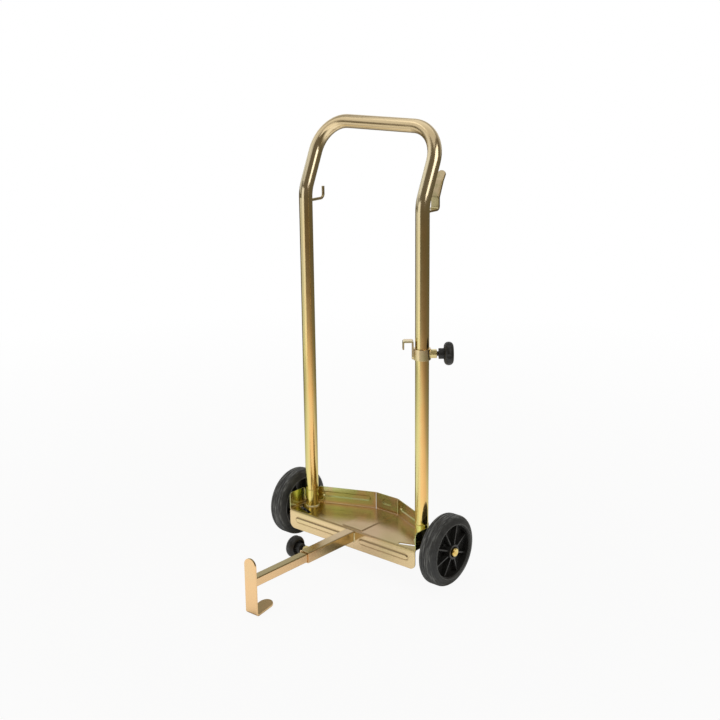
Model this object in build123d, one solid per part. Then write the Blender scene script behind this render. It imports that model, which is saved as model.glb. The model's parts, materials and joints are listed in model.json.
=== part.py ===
from build123d import *
from math import cos, radians, sin, sqrt, tan
import os

# Two-wheel drum trolley of bent tube and folded sheet, in millimetres with +Z up.
# Pieces are modelled about the plane of the uprights, with Y pointing back and Z from the ground,
# and are moved on export so that the frame's origin lies under the middle of the outline.

# Handle
TUBE_R = 15.0
TUBE_WALL = 2.0
UPRIGHT_INSET = 24.0
BAR_Z = 985.0
LEAN_DROP = 149.0
LEAN_ANGLE = 23.2
LEAN_BEND_R = 80.0
BAR_BEND_R = 72.0

# Stubs under the uprights
STUB_H = 41.5
SPIGOT_L = 45.0
SPIGOT_WALL = 3.0
SEAM_CHAMFER = 0.8

# Wheels and axle
WHEEL_R = 80.0
WHEEL_STANDOFF = 35.0
TYRE_W = 44.0
TYRE_CROWN_W = 25.0
TYRE_BULGE = 1.6
TYRE_SHOULDER_R = 4.0
RIM_R = 61.0
RIM_WALL = 2.5
RIM_W = 34.0
WEB_W = 5.0
HUB_RIBS = 8
HUB_RIB_W = 3.0
HUB_RIB_INNER_H = 40.0
HUB_RIB_OUTER_H = 26.0
HUB_PIP_R = 2.2
HUB_PIP_H = 11.0
HUB_PIP_REACH = 28.0
HUB_PIP_SECTOR = 5
BOSS_R = 16.5
BOSS_W = 44.0
WELL_R = 12.0
WELL_DEPTH = 4.0
BUSH_R = 9.0
AXLE_R = 6.0
AXLE_Y = 11.5
CAP_R = 10.0
CAP_H = 9.0
CAP_ROUND = 3.0
CAP_ROOF = 2.0
WASHER_R = 11.0
WASHER_T = 1.5
SPACER_R = 9.0

# Axle brackets
BRACKET_T = 12.0
BRACKET_PROUD = 0.5
BRACKET_R = 14.0

# Folded pan
SHEET = 2.0
BEND_R = 2.0
PAN_HALF = 188.0
PAN_FRONT_Y = -53.0
RIM_BACK_Y = 80.0
RIM_CENTRE_HALF = 33.0
RIM_ANGLE = 23.3
RIM_END_INSET = 20.0
WALL_H = 40.0
WALL_CORNER_R = 9.0
SIDE_BACK_Y = 0.0
FRONT_DROP = 43.5
FRONT_CORNER_R = 14.0
CORNER_SETBACK = 1.0
RELIEF_R = 2.0

# Ribs, band and slots pressed in the pan
RIB_DEPTH = 2.6
RIB_TAPER = 45.0
RIB_STEP = 1.2
FRONT_RIB_W = 13.0
WALL_RIB_W = 16.0
WALL_RIB_Z = 22.5
DIAGONAL_RIB_L = 122.0
CENTRE_RIB_L = 30.0
FRONT_RIB_Z = 20.0
FRONT_RIB_INNER_X = 27.0
FRONT_RIB_END = 20.0
BAND_HALF = 30.0
BAND_RISE = 2.0
BAND_SETBACK = 2.0
BAND_CORNER_R = 4.0
SLOT_INSET = 32.0
SLOT_Y = -33.5
SLOT_L = 50.0
SLOT_W = 9.0
SLOT_ANGLE = 20.7

# Foot arm
SOCKET_W = 25.0
SOCKET_WALL = 2.0
SOCKET_FRONT_Y = -204.0
SOCKET_BACK_Y = -2.0
FOOT_TUBE_W = 20.0
FOOT_TUBE_WALL = 2.0
FOOT_TUBE_BACK_Y = -152.0
TUBE_CORNER_R = 2.5
FOOT_FRONT_Y = -369.0
FOOT_W = 32.0
FOOT_T = 4.0
FOOT_RISE = 54.0
FOOT_END_FLAT = 0.4
FOOT_BEND_R = 4.5
TONGUE_L = 58.0
TONGUE_ANGLE = 10.0

# Drum clamp on the right upright
CLAMP_RISE = 429.0
CLAMP_ANGLE = 41.0
COLLAR_R = 18.5
COLLAR_H = 24.0
HOOK_W = 20.0
HOOK_T = 3.5
HOOK_TOP_Z = 30.0
HOOK_FOOT_Z = -11.0
HOOK_REACH = 20.0
HOOK_LIP = 18.5
HOOK_BEND_R = 3.0
HOOK_SINK = 0.3

# Lock screws
STUD_R = 5.0
STUD_DEPTH = 16.0
NUT_AF = 17.0
NUT_L = 12.5
NUT_CHAMFER = 0.8
CLAMP_KNOB_GAP = 4.0
FOOT_KNOB_GAP = 7.0
FOOT_LOCK_Y = -176.5
KNOB_NECK_R = 11.5
KNOB_NECK_L = 11.3
KNOB_R = 25.0
KNOB_T = 20.0
KNOB_EDGE_FLAT = 1.5
KNOB_LOBES = 6
KNOB_SCALLOP_R = 14.0
KNOB_SCALLOP_DEPTH = 1.3
KNOB_LOBE_ROUND = 6.0
KNOB_HOLLOW_R = 17.0
KNOB_HOLLOW_DEPTH = 8.0

# Hose hooks behind the uprights
ROD_R = 3.2
ROD_DROP = 24.5
ROD_BACK_Y = 57.5
ROD_TOP_RISE = 2.0
ROD_BEND_R = 9.0
STRIP_W = 20.0
STRIP_T = 4.0
STRIP_DROP = 16.5
STRIP_BACK_Y = 43.5
STRIP_LEAN_RISE = 9.0
STRIP_FLARE_RISE = 42.0
STRIP_TOP_RISE = 61.0
STRIP_LEAN_ANGLE = 21.5
STRIP_FLARE_ANGLE = 30.0
STRIP_FOOT_BEND_R = 7.0
STRIP_BEND_R = 12.0
STRIP_TIP_R = 9.0

# Fits and clearances
RUN_FIT = 0.05
SLIDE_FIT = 0.3
END_GAP = 0.3
HOLE_FIT = 0.3
NOTCH_FIT = 0.2
AXLE_GAP = 0.2

# Derived heights and positions
UPRIGHT_X = PAN_HALF - UPRIGHT_INSET
WHEEL_X = PAN_HALF + WHEEL_STANDOFF
RIM_END_X = PAN_HALF - RIM_END_INSET
SLOT_X = PAN_HALF - SLOT_INSET
LEAN_Z = BAR_Z - LEAN_DROP
FLOOR_UNDER = WHEEL_R + AXLE_R + AXLE_GAP
FLOOR_TOP = FLOOR_UNDER + SHEET
SEAM_Z = FLOOR_TOP + STUB_H
FOLD = SHEET + BEND_R
ARM_Z = FLOOR_UNDER - SOCKET_W / 2
FOOT_TOP_Z = ARM_Z + FOOT_RISE
CLAMP_Z = FLOOR_TOP + CLAMP_RISE
BAR_Y = (BAR_Z - LEAN_Z) * tan(radians(LEAN_ANGLE))
RIM_TAN = tan(radians(RIM_ANGLE))
BUSH_OUT = BOSS_W / 2 - WELL_DEPTH
CAP_START = BUSH_OUT + END_GAP
AXLE_END = CAP_START + CAP_H - CAP_ROOF
BOSS_INNER_X = WHEEL_X - BOSS_W / 2
BRACKET_OUTER_X = PAN_HALF + BRACKET_PROUD
CLAMP_KNOB_START = COLLAR_R + NUT_L + CLAMP_KNOB_GAP
FOOT_KNOB_START = SOCKET_W / 2 + NUT_L + FOOT_KNOB_GAP
FRAME_Y = -(FOOT_FRONT_Y + AXLE_Y + WHEEL_R) / 2


def handle_path():
    """Centre line of the handle, up one side, across and down the other."""
    left = [(-UPRIGHT_X, 0, SEAM_Z), (-UPRIGHT_X, 0, LEAN_Z), (-UPRIGHT_X, BAR_Y, BAR_Z)]
    right = [(-x, y, z) for x, y, z in reversed(left)]
    radii = [LEAN_BEND_R, BAR_BEND_R, BAR_BEND_R, LEAN_BEND_R]
    return FilletPolyline(*left, *right, radius=radii)


def swept_handle(section):
    start = Plane((-UPRIGHT_X, 0, SEAM_Z))
    return sweep(start * section, path=handle_path())


def handle_tube():
    tube = swept_handle(Circle(TUBE_R) - Circle(TUBE_R - TUBE_WALL))
    return chamfer(tube.edges().group_by(Axis.Z)[0].group_by(SortBy.RADIUS)[-1], SEAM_CHAMFER)


def upright_stub(side):
    """Short post welded on the pan, with a spigot that the handle's end slides over."""
    upright = (Align.CENTER, Align.CENTER, Align.MIN)
    post = Cylinder(TUBE_R, STUB_H, align=upright)
    post = chamfer(post.edges().group_by(Axis.Z)[-1], SEAM_CHAMFER)
    spigot_r = TUBE_R - TUBE_WALL - SLIDE_FIT
    post += Cylinder(spigot_r, STUB_H + SPIGOT_L, align=upright)
    post -= Cylinder(spigot_r - SPIGOT_WALL, STUB_H + SPIGOT_L, align=upright)
    return Pos(side * UPRIGHT_X, 0, FLOOR_TOP) * post


def wheel_place(side):
    """Wheel frame: local Z points outwards along the axle from the middle of the tyre."""
    return Pos(side * WHEEL_X, AXLE_Y, WHEEL_R) * Rot(0, side * 90, 0)


def tyre():
    """Solid tyre with bulged side walls that draw in to a narrower crown."""
    lip = (RIM_R, TYRE_W / 2)
    crown = (WHEEL_R, TYRE_CROWN_W / 2)
    side_wall = SagittaArc(lip, crown, TYRE_BULGE)
    outline = side_wall + Line(crown, (crown[0], -crown[1])) + mirror(side_wall, Plane.XZ)
    outline += Line((lip[0], -lip[1]), lip)
    section = fillet(make_face(outline).vertices().group_by(Axis.X)[-1], TYRE_SHOULDER_R)
    return revolve(Plane.XZ * section, Axis.Z)


def hub():
    """Moulded hub with a web, thin radial ribs, one moulding pip and a well for the axle cap."""
    inner = RIM_R - RIM_WALL
    body = Cylinder(RIM_R, RIM_W) - Cylinder(inner, RIM_W)
    body += Cylinder(inner, WEB_W)
    half_in = HUB_RIB_INNER_H / 2
    half_out = HUB_RIB_OUTER_H / 2
    rib_points = [(0, -half_in), (inner, -half_out), (inner, half_out), (0, half_in)]
    rib = extrude(Plane.XZ * make_face(Polyline(*rib_points, close=True)), HUB_RIB_W / 2, both=True)
    sector = 360 / HUB_RIBS
    body += [place * rib for place in PolarLocations(0, HUB_RIBS, start_angle=sector / 2)]
    pip = Cylinder(HUB_PIP_R, HUB_PIP_H, align=(Align.CENTER, Align.CENTER, Align.MIN))
    body += Rot(0, 0, HUB_PIP_SECTOR * sector) * Pos(HUB_PIP_REACH, 0, 0) * pip
    body += Cylinder(BOSS_R, BOSS_W)
    body -= Cylinder(BUSH_R, BOSS_W)
    well = Cylinder(WELL_R, WELL_DEPTH, align=(Align.CENTER, Align.CENTER, Align.MAX))
    return body - Pos(0, 0, BOSS_W / 2) * well


def bush():
    length = BOSS_W - WELL_DEPTH
    sleeve = Cylinder(BUSH_R, length) - Cylinder(AXLE_R + RUN_FIT, length)
    return Pos(0, 0, -WELL_DEPTH / 2) * sleeve


def axle_cap():
    """Domed push-on cap over the end of the axle."""
    upright = (Align.CENTER, Align.CENTER, Align.MIN)
    dome = Cylinder(CAP_R, CAP_H, align=upright)
    dome = fillet(dome.edges().group_by(Axis.Z)[-1], CAP_ROUND)
    return Pos(0, 0, CAP_START) * (dome - Cylinder(AXLE_R, CAP_H - CAP_ROOF, align=upright))


def along_axle(shape):
    return Pos(0, AXLE_Y, WHEEL_R) * Rot(0, 90, 0) * shape


def axle():
    return along_axle(Cylinder(AXLE_R, 2 * (WHEEL_X + AXLE_END)))


def axle_ring(side, radius, bore, start, end):
    ring = Cylinder(radius, end - start) - Cylinder(bore, end - start)
    return Pos(side * (start + end) / 2, 0, 0) * along_axle(ring)


def spacer(side):
    end = BOSS_INNER_X - END_GAP - WASHER_T
    return axle_ring(side, SPACER_R, AXLE_R + RUN_FIT, BRACKET_OUTER_X, end)


def axle_washers():
    end = BOSS_INNER_X - END_GAP
    return Compound([axle_ring(side, WASHER_R, AXLE_R + RUN_FIT, end - WASHER_T, end) for side in (-1, 1)])


def axle_bracket(side):
    """Lug that hangs from the pan floor and carries the axle."""
    height = FLOOR_UNDER - WHEEL_R
    outline = Circle(BRACKET_R) + Rectangle(2 * BRACKET_R, height, align=(Align.CENTER, Align.MIN))
    outline -= Circle(AXLE_R + RUN_FIT)
    outline -= Pos(0, height) * Rectangle(2 * BRACKET_R, BRACKET_R, align=(Align.CENTER, Align.MIN))
    plate = extrude(Plane.YZ * outline, BRACKET_T / 2, both=True)
    return Pos(side * (BRACKET_OUTER_X - BRACKET_T / 2), AXLE_Y, WHEEL_R) * plate


def flange(length, height):
    """Sheet folded up along local X, with its outer face on Y = 0 and the floor's top on Z = 0."""
    low = (Align.MIN, Align.MIN)
    upright = Pos(0, BEND_R) * Rectangle(SHEET, height - BEND_R, align=low)
    bend = Pos(FOLD, BEND_R) * (Circle(FOLD) - Circle(BEND_R))
    bend &= Pos(0, -SHEET) * Rectangle(FOLD, FOLD, align=low)
    return extrude(Plane.YZ * (upright + bend), length / 2, both=True)


def round_corners(strip, radius):
    """Round both free corners of a flange."""
    return fillet(strip.edges().filter_by(Axis.Y).group_by(Axis.Z)[-1], radius)


def round_end(strip, radius):
    """Round the free corner of a flange at its low X end."""
    return fillet(strip.edges().filter_by(Axis.Y).group_by(Axis.Z)[-1].sort_by(Axis.X)[0], radius)


def press_rib(sheet, face, length, width):
    """Rib pressed outwards through the sheet, at the middle of a plane on its outer face."""
    bump = extrude(face * SlotOverall(length, width), RIB_DEPTH, taper=RIB_TAPER)
    hollow_slot = SlotOverall(length - 2 * RIB_STEP, width - 2 * RIB_STEP)
    hollow = extrude(face.offset(-SHEET) * hollow_slot, RIB_DEPTH, taper=RIB_TAPER)
    return sheet + bump - hollow


def outer_face(x, z):
    return Plane((x, 0, z), x_dir=(1, 0, 0), z_dir=(0, -1, 0))


def wall_place(x, y, angle):
    """Fold frame at a point of the pan's outline whose outward normal is turned from +Y towards +X."""
    turn = radians(angle)
    return Plane((x, y, 0), x_dir=(-cos(turn), sin(turn), 0), z_dir=(0, 0, 1))


def pan_outline():
    corner_y = RIM_BACK_Y - (PAN_HALF - RIM_CENTRE_HALF) * RIM_TAN
    right = [(PAN_HALF, PAN_FRONT_Y), (PAN_HALF, corner_y), (RIM_CENTRE_HALF, RIM_BACK_Y)]
    left = [(-x, y) for x, y in reversed(right)]
    return make_face(Polyline(*right, *left, close=True))


def pan_floor():
    """Floor inside the folds, with the raised band, corner reliefs and slots."""
    flat = offset(pan_outline(), -FOLD, kind=Kind.INTERSECTION)
    floor = extrude(flat, -SHEET)
    front = PAN_FRONT_Y + FOLD + BAND_SETBACK
    back = RIM_BACK_Y - FOLD - BAND_SETBACK
    band_size = (2 * BAND_HALF, back - front)
    band_place = Plane((0, (front + back) / 2, 0))
    floor += extrude(band_place * RectangleRounded(*band_size, BAND_CORNER_R), BAND_RISE, taper=RIB_TAPER)
    hollow_size = (band_size[0] - 2 * RIB_STEP, band_size[1] - 2 * RIB_STEP)
    hollow = RectangleRounded(*hollow_size, BAND_CORNER_R - RIB_STEP)
    floor -= extrude(band_place.offset(-SHEET) * hollow, BAND_RISE, taper=RIB_TAPER)
    for side in (-1, 1):
        slot = Pos(side * SLOT_X, SLOT_Y) * Rot(0, 0, side * SLOT_ANGLE) * SlotOverall(SLOT_L, SLOT_W)
        floor -= extrude(slot, -SHEET)
    return floor


def pan_side():
    """Right side wall and right diagonal wall of the pan, in the pan's frame."""
    side_front = PAN_FRONT_Y + CORNER_SETBACK
    wall = round_corners(flange(SIDE_BACK_Y - side_front, WALL_H), WALL_CORNER_R)
    side_wall = wall_place(PAN_HALF, (SIDE_BACK_Y + side_front) / 2, 90) * wall
    start_x = RIM_CENTRE_HALF
    mid_x = (start_x + RIM_END_X) / 2
    length = (RIM_END_X - start_x) / cos(radians(RIM_ANGLE)) - 2 * CORNER_SETBACK
    diagonal = round_end(flange(length, WALL_H), WALL_CORNER_R)
    diagonal = press_rib(diagonal, outer_face(0, WALL_RIB_Z), DIAGONAL_RIB_L, WALL_RIB_W)
    mid_y = RIM_BACK_Y - (mid_x - RIM_CENTRE_HALF) * RIM_TAN
    return side_wall + wall_place(mid_x, mid_y, RIM_ANGLE) * diagonal


def pan_front():
    """Front apron, folded down, with two long ribs beside the arm."""
    apron = round_corners(flange(2 * (PAN_HALF - CORNER_SETBACK), FRONT_DROP), FRONT_CORNER_R)
    outer_x = PAN_HALF - FRONT_RIB_END
    for side in (-1, 1):
        face = outer_face(side * (FRONT_RIB_INNER_X + outer_x) / 2, FRONT_RIB_Z)
        apron = press_rib(apron, face, outer_x - FRONT_RIB_INNER_X, FRONT_RIB_W)
    folded_down = mirror(apron, Plane.XY.offset(-SHEET / 2))
    return wall_place(0, PAN_FRONT_Y, 180) * folded_down


def base_plate():
    centre = flange(2 * (RIM_CENTRE_HALF - CORNER_SETBACK), WALL_H)
    centre = press_rib(centre, outer_face(0, WALL_RIB_Z), CENTRE_RIB_L, WALL_RIB_W)
    side = pan_side()
    pan = pan_floor() + pan_front() + wall_place(0, RIM_BACK_Y, 0) * centre
    pan += [side, mirror(side, Plane.YZ)]
    relief = Cylinder(RELIEF_R, 4 * FOLD)
    relief_x = RIM_CENTRE_HALF - FOLD * tan(radians(RIM_ANGLE / 2))
    pan -= [Pos(side * relief_x, RIM_BACK_Y - FOLD) * relief for side in (-1, 1)]
    notch_w = SOCKET_W + 2 * NOTCH_FIT
    notch_top = (Align.CENTER, Align.CENTER, Align.MAX)
    pan -= Pos(0, PAN_FRONT_Y, -SHEET) * Box(notch_w, 4 * FOLD, SOCKET_W + NOTCH_FIT, align=notch_top)
    return Pos(0, 0, FLOOR_TOP) * pan


def square_tube(width, wall, start_y, end_y):
    inner = width - 2 * wall
    section = RectangleRounded(width, width, TUBE_CORNER_R)
    section -= RectangleRounded(inner, inner, TUBE_CORNER_R / 2)
    start = Plane((0, start_y, ARM_Z), x_dir=(1, 0, 0), z_dir=(0, 1, 0))
    return extrude(start * section, end_y - start_y)


def arm_socket():
    tube = square_tube(SOCKET_W, SOCKET_WALL, SOCKET_FRONT_Y, SOCKET_BACK_Y)
    hole = Cylinder(STUD_R + HOLE_FIT, 2 * SOCKET_WALL)
    return tube - foot_screw_place() * Pos(0, 0, SOCKET_W / 2) * hole


def foot_tube():
    return square_tube(FOOT_TUBE_W, FOOT_TUBE_WALL, FOOT_FRONT_Y + FOOT_T, FOOT_TUBE_BACK_Y)


def foot_plate():
    """Flat bar bent at the ground into a tongue that points back under the arm."""
    slope = radians(TONGUE_ANGLE)
    line_y = FOOT_FRONT_Y + FOOT_T / 2
    outer_r = FOOT_BEND_R + FOOT_T / 2
    corner_z = outer_r - FOOT_BEND_R * (1 + sin(slope)) / cos(slope)
    reach = TONGUE_L - FOOT_T / 2
    tip = (line_y + reach, corner_z + reach * tan(slope))
    path = FilletPolyline((line_y, FOOT_TOP_Z), (line_y, corner_z), tip, radius=FOOT_BEND_R)
    bar = extrude(Plane.YZ * trace(path, FOOT_T), FOOT_W / 2, both=True)
    end_r = (FOOT_W - FOOT_END_FLAT) / 2
    bar = fillet(bar.edges().filter_by(Axis.Y).group_by(Axis.Z)[-1], end_r)
    tip_face = bar.faces().sort_by(Axis.Y)[-1]
    tip_edges = tip_face.edges().filter_by(Axis.X, reverse=True)
    return fillet(tip_edges, end_r)


def screw_axis():
    """Frame of a lock screw: local Z runs from the middle of the tube out through the knob."""
    return Plane((0, 0, 0), x_dir=(0, 1, 0), z_dir=(1, 0, 0))


def foot_screw_place():
    return Pos(0, FOOT_LOCK_Y, ARM_Z) * Rot(0, 0, 180) * screw_axis().location


def clamp_place():
    return Pos(UPRIGHT_X, 0, CLAMP_Z) * Rot(0, 0, CLAMP_ANGLE)


def lock_nut(seat, length):
    """Hexagon nut with its outer end chamfered."""
    prism = extrude(RegularPolygon(NUT_AF / 2, 6, major_radius=False), length)
    prism = chamfer(prism.faces().sort_by(Axis.Z)[-1].edges(), NUT_CHAMFER)
    bore = Cylinder(STUD_R + RUN_FIT, 2 * length)
    return Pos(0, 0, seat) * (prism - bore)


def lock_stud(tip, knob_start):
    length = knob_start + STUD_DEPTH - tip
    return Pos(0, 0, tip) * Cylinder(STUD_R, length, align=(Align.CENTER, Align.CENTER, Align.MIN))


def lock_knob(start):
    """Star knob: a round-edged head with shallow scallops and a hollow back, on a round neck."""
    upright = (Align.CENTER, Align.CENTER, Align.MIN)
    scallop_x = KNOB_R + KNOB_SCALLOP_R - KNOB_SCALLOP_DEPTH
    outline = Circle(KNOB_R)
    outline -= [place * Circle(KNOB_SCALLOP_R) for place in PolarLocations(scallop_x, KNOB_LOBES)]
    outline = fillet(outline.vertices(), KNOB_LOBE_ROUND)
    disc = Cylinder(KNOB_R, KNOB_T, align=upright)
    disc = fillet(disc.edges().filter_by(GeomType.CIRCLE), (KNOB_T - KNOB_EDGE_FLAT) / 2)
    head = extrude(outline, KNOB_T) & disc
    head -= Cylinder(KNOB_HOLLOW_R, KNOB_HOLLOW_DEPTH, align=upright)
    neck = Cylinder(KNOB_NECK_R, KNOB_NECK_L + KNOB_HOLLOW_DEPTH, align=upright)
    knob = neck + Pos(0, 0, KNOB_NECK_L) * head
    knob -= Cylinder(STUD_R + RUN_FIT, STUD_DEPTH + END_GAP, align=upright)
    return Pos(0, 0, start) * knob


def clamp_screw_place():
    return clamp_place() * screw_axis().location


def clamp_collar():
    collar = Cylinder(COLLAR_R, COLLAR_H) - Cylinder(TUBE_R + SLIDE_FIT, COLLAR_H)
    hole = Cylinder(STUD_R + HOLE_FIT, 2 * TUBE_R)
    return clamp_place() * (collar - screw_axis().location * Pos(0, 0, 2 * TUBE_R) * hole)


def clamp_nut():
    """Nut welded on the collar, its seat hollowed to the collar's round."""
    sink = COLLAR_R - sqrt(COLLAR_R**2 - NUT_AF**2 / 3)
    nut = screw_axis().location * lock_nut(COLLAR_R - sink, NUT_L + sink)
    return clamp_place() * (nut - Cylinder(COLLAR_R, COLLAR_H))


def clamp_hook():
    """Strip welded on the collar and folded over into a lip for the drum's rim."""
    leg_x = -(COLLAR_R + HOOK_T / 2 - HOOK_SINK)
    lip_x = leg_x - HOOK_REACH
    top = HOOK_TOP_Z - HOOK_T / 2
    points = [(leg_x, HOOK_FOOT_Z), (leg_x, top), (lip_x, top), (lip_x, HOOK_TOP_Z - HOOK_LIP)]
    path = FilletPolyline(*points, radius=HOOK_BEND_R)
    strip = extrude(Plane.XZ * trace(path, HOOK_T), HOOK_W / 2, both=True)
    foot_edges = strip.edges().filter_by(Axis.X).group_by(Axis.Z)[0]
    strip = fillet(foot_edges, HOOK_W / 3)
    return clamp_place() * (strip - Cylinder(COLLAR_R, COLLAR_H))


def rod_hook():
    """Round rod bent up behind the left upright."""
    foot_z = LEAN_Z - ROD_DROP
    bend = (-UPRIGHT_X, ROD_BACK_Y, foot_z)
    points = [(-UPRIGHT_X, 0, foot_z), bend, (-UPRIGHT_X, ROD_BACK_Y, LEAN_Z + ROD_TOP_RISE)]
    start = Plane(points[0], x_dir=(1, 0, 0), z_dir=(0, 1, 0))
    rod = sweep(start * Circle(ROD_R), path=FilletPolyline(*points, radius=ROD_BEND_R))
    return rod - swept_handle(Circle(TUBE_R))


def strip_hook():
    """Flat strip behind the right upright, bent up and leaning back to a flared tip."""
    foot_z = LEAN_Z - STRIP_DROP
    lean_z = LEAN_Z + STRIP_LEAN_RISE
    flare_z = LEAN_Z + STRIP_FLARE_RISE
    top_z = LEAN_Z + STRIP_TOP_RISE
    flare_y = STRIP_BACK_Y + (flare_z - lean_z) * tan(radians(STRIP_LEAN_ANGLE))
    top_y = flare_y + (top_z - flare_z) * tan(radians(STRIP_FLARE_ANGLE))
    points = [(0, foot_z), (STRIP_BACK_Y, foot_z), (STRIP_BACK_Y, lean_z), (flare_y, flare_z), (top_y, top_z)]
    path = FilletPolyline(*points, radius=[STRIP_FOOT_BEND_R, STRIP_BEND_R, STRIP_BEND_R])
    strip = extrude(Plane.YZ * trace(path, STRIP_T), STRIP_W / 2, both=True)
    tip_face = strip.faces().sort_by(Axis.Z)[-1]
    strip = fillet(tip_face.edges().filter_by(Axis.X, reverse=True), STRIP_TIP_R)
    return Pos(UPRIGHT_X, 0, 0) * strip - swept_handle(Circle(TUBE_R))


def pieces():
    """Every piece of the trolley by name, in the modelling frame."""
    foot_screw = foot_screw_place()
    clamp_screw = clamp_screw_place()
    made = {
        "handle_tube": handle_tube(),
        "base_plate": base_plate(),
        "arm_socket": arm_socket(),
        "socket_nut": foot_screw * lock_nut(SOCKET_W / 2, NUT_L),
        "axle": axle(),
        "axle_washers": axle_washers(),
        "rod_hook": rod_hook(),
        "strip_hook": strip_hook(),
        "foot_tube": foot_tube(),
        "foot_plate": foot_plate(),
        "foot_stud": foot_screw * lock_stud(FOOT_TUBE_W / 2 + END_GAP, FOOT_KNOB_START),
        "foot_knob": foot_screw * lock_knob(FOOT_KNOB_START),
        "clamp_collar": clamp_collar(),
        "clamp_nut": clamp_nut(),
        "clamp_hook": clamp_hook(),
        "clamp_stud": clamp_screw * lock_stud(TUBE_R + END_GAP, CLAMP_KNOB_START),
        "clamp_knob": clamp_screw * lock_knob(CLAMP_KNOB_START),
    }
    for name, side in (("left", -1), ("right", 1)):
        place = wheel_place(side)
        made[f"{name}_stub"] = upright_stub(side)
        made[f"{name}_tyre"] = place * tyre()
        made[f"{name}_hub"] = place * hub()
        made[f"{name}_bush"] = place * bush()
        made[f"{name}_axle_cap"] = place * axle_cap()
        made[f"{name}_spacer"] = spacer(side)
        made[f"{name}_axle_bracket"] = axle_bracket(side)
    return made


os.makedirs("parts", exist_ok=True)
for name, shape in pieces().items():
    export_step(Pos(0, FRAME_Y, 0) * shape, f"parts/{name}.step")
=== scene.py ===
"""Looks of the drum trolley: plated steel, grooved rubber tyres, moulded plastic and a plain studio.

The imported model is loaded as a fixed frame, in metres with +Z up. Its steel and plastic pieces keep their
shape and get a finish, the tyres are replaced by grooved ones, and the joins get weld beads.
"""

import json
import math

import bmesh
import bpy
from mathutils import Matrix, Vector

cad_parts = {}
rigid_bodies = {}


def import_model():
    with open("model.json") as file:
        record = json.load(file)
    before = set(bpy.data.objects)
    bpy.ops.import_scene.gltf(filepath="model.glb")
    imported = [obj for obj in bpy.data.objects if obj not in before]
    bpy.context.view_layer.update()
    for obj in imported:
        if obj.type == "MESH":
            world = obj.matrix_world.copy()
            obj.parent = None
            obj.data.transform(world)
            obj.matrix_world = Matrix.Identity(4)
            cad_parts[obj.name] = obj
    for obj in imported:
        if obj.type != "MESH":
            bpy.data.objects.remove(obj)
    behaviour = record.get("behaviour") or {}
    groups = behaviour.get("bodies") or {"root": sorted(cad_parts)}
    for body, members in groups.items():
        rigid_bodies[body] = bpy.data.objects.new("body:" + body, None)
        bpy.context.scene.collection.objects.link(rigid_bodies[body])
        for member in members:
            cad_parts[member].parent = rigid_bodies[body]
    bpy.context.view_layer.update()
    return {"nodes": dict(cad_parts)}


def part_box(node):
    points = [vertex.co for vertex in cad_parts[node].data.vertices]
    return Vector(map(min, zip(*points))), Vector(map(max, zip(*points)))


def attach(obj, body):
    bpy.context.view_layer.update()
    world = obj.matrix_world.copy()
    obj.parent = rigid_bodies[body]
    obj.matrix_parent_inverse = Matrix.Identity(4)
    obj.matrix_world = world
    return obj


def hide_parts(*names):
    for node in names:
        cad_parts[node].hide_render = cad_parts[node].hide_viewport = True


# Camera
CAMERA_AT = (1.76079, -1.90574, 1.24978)
CAMERA_YAW = 40.90
CAMERA_PITCH = 16.04
CAMERA_ROLL = -0.64
CAMERA_LENS = 63.58
CAMERA_SENSOR = 36
CAMERA_FAR = 200

# Tyres
TYRE_R = 0.080
TYRE_W = 0.044
TYRE_CROWN_W = 0.025
TYRE_BULGE = 0.0016
TYRE_WALL_STEPS = 14
TYRE_SEGMENTS = 192
SHOULDER_REACH = 0.0032
SHOULDER_STEPS = 6
SHOULDER_GAP = 0.0004
RIM_R = 0.061
LIP_W = 0.0028
LIP_RISE = 0.0006
LIP_START = 0.2
LIP_END = 0.6
GROOVES = 3
GROOVE_W = 0.0016
GROOVE_DEPTH = 0.0008
GROOVE_PITCH = 0.0060
GROOVE_SECTION = ((0.62, 0), (0.44, 0.35), (0.26, 1), (-0.26, 1), (-0.44, 0.35), (-0.62, 0))
AXLE_CENTRE = (0.0, 0.15025, TYRE_R)
WHEEL_PLANE = (0, 1, 1)

# Weld beads
STUB_BEAD_R = 0.0030
BEAD_R = 0.0019
FINE_BEAD_R = 0.0012
BEAD_SIDES = 10
BEAD_STEP = 0.0005
RIPPLE_PITCH = 0.0024
RIPPLE_DEPTH = 0.16
TUBE_R = 0.015
TUBE_BACK = math.pi / 2
STUB_RING_SIDES = 48
ROD_R = 0.0032
ROD_RING_SIDES = 20
STRIP_HALF = 0.010
STRIP_T = 0.004
STRIP_STEPS = 10
APRON_RIB = 0.0026
APRON_BEND = 0.004
NUT_AF = 0.017
NUT_R = NUT_AF / math.sqrt(3)
NUT_SIDES = 6
NUT_SEAT_STEPS = 4
COLLAR_R = 0.0185
CLAMP_ANGLE = math.radians(41.0)
HOOK_ANGLE = CLAMP_ANGLE + math.pi
HOOK_BEAD_R = 0.0192
HOOK_BEAD_SIDE = 0.0085
HOOK_BEAD_HALF = 0.010
BRACKET_BEAD = 0.007

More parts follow.
